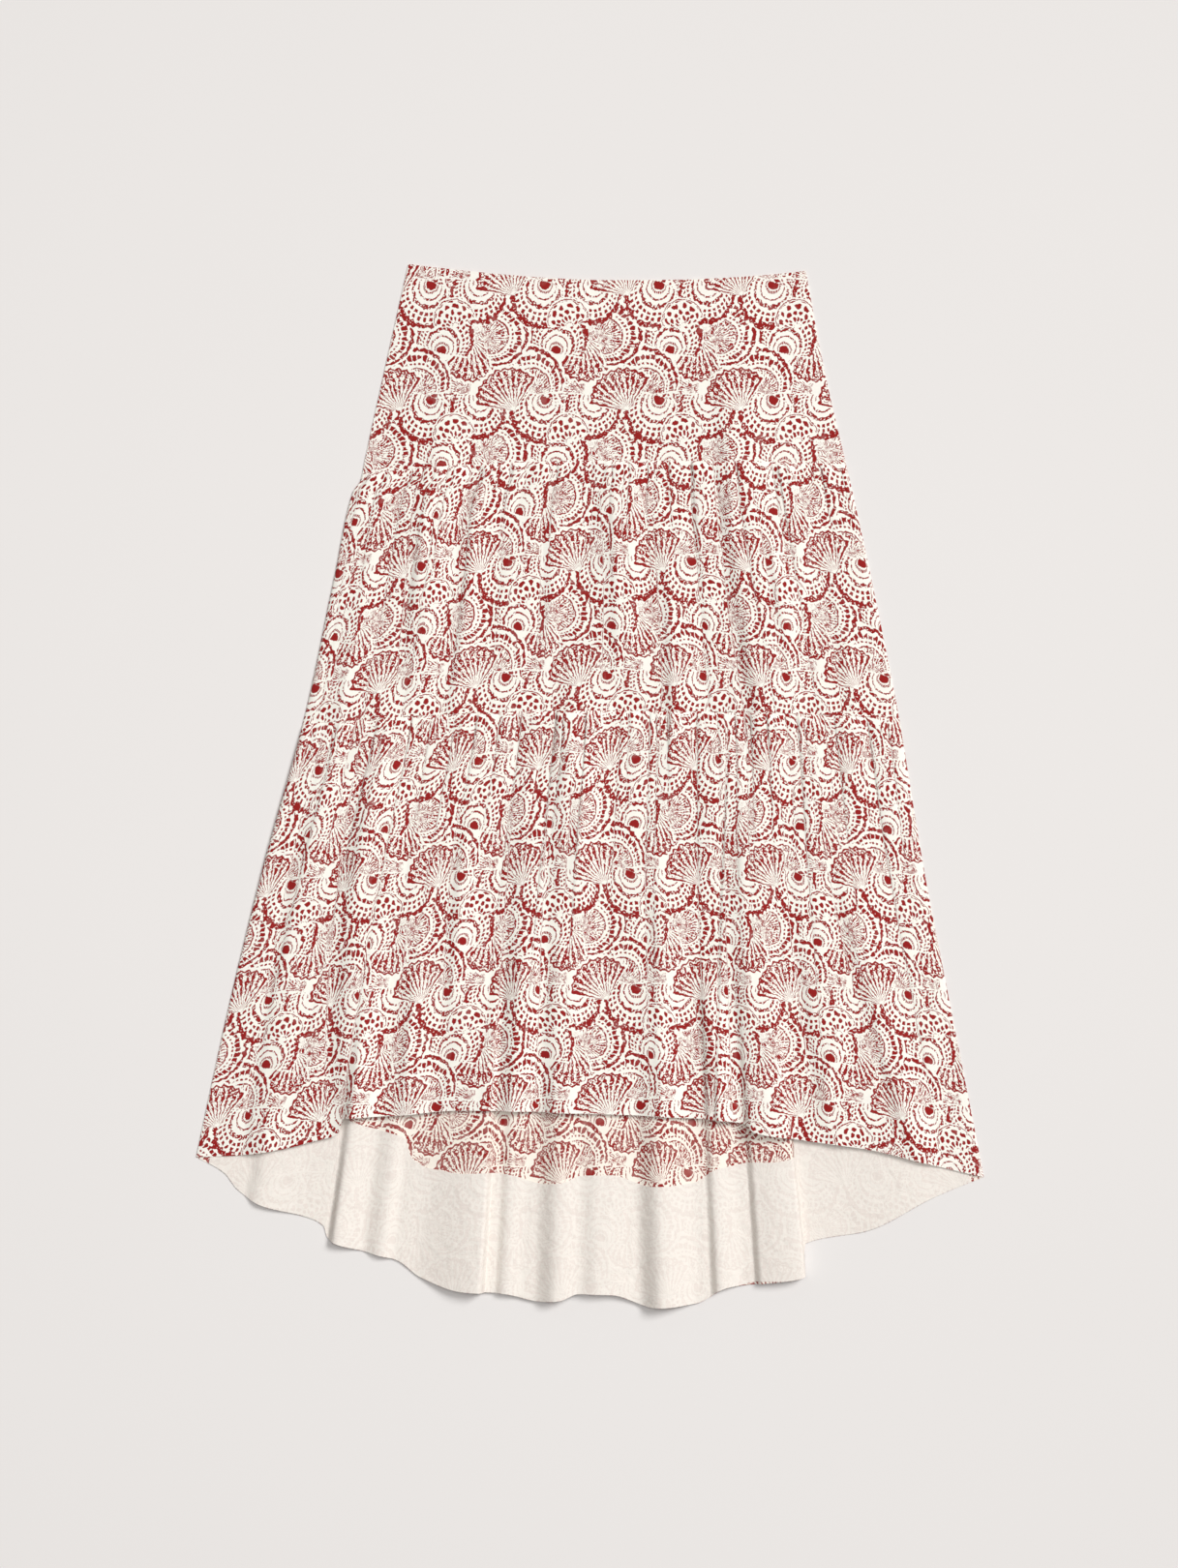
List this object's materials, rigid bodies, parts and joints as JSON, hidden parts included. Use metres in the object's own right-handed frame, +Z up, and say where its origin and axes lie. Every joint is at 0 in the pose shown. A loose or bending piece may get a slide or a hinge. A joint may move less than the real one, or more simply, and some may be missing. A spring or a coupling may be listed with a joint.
{
  "type": "tiered skirt",
  "caption": "Printed cotton midi skirt with a plain yoke, gathered tiers and a high-low hem with an inner facing, laid flat.",
  "frame": {"origin": "on the surface that the skirt lies on, under the middle of its box", "axes": "+X towards the side of the skirt that is on the right in the picture, +Y from the hem towards the waist, +Z up from the surface, out of the front of the skirt"},
  "size_m": [0.732, 0.969, 0.0189],
  "materials": {
    "printed_cotton": null,
    "plain_cotton": "matt plain-weave cotton lawn, undyed cream, thin enough for the print behind it to show faintly"
  },
  "bodies": {
    "root": {"back_yoke": "printed_cotton", "back_upper_tier": "printed_cotton", "back_lower_tier": "printed_cotton", "back_hem_facing": "plain_cotton", "front_yoke": "printed_cotton", "front_upper_tier": "printed_cotton", "front_lower_tier": "printed_cotton"}
  },
  "joints": []
}
